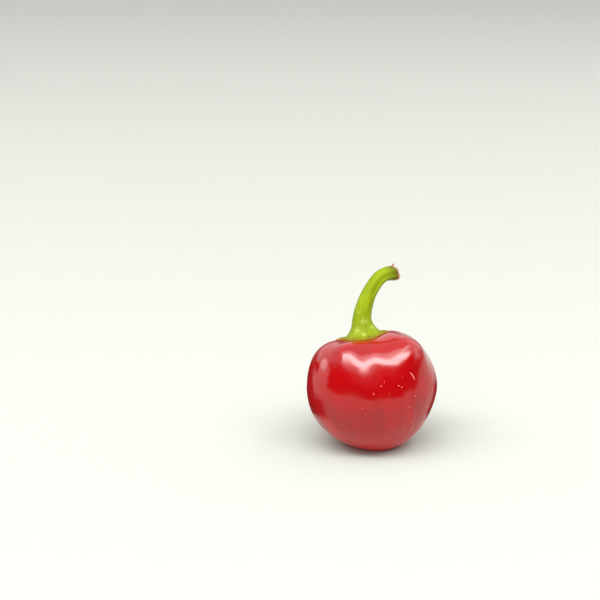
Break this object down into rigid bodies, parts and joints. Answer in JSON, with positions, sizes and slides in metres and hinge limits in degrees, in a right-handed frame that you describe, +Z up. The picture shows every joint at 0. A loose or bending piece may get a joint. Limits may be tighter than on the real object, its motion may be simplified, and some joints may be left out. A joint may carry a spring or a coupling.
{
  "type": "cherry pepper",
  "caption": "Squat round cherry pepper with lobed shoulders, a thin star-shaped calyx and a bent, ridged stem, standing on a small flat spot.",
  "frame": {"origin": "the point of the resting spot under the middle of the pod", "axes": "+Z up; +X towards the side that the stem's tip bends to; -Y the front"},
  "size_m": [0.0402, 0.039, 0.0556],
  "materials": {
    "ripe_skin": "glossy waxy skin",
    "green_stem": "satin green stem and calyx"
  },
  "bodies": {
    "root": {"pod": "ripe_skin", "stem_with_calyx": "green_stem"}
  },
  "joints": []
}
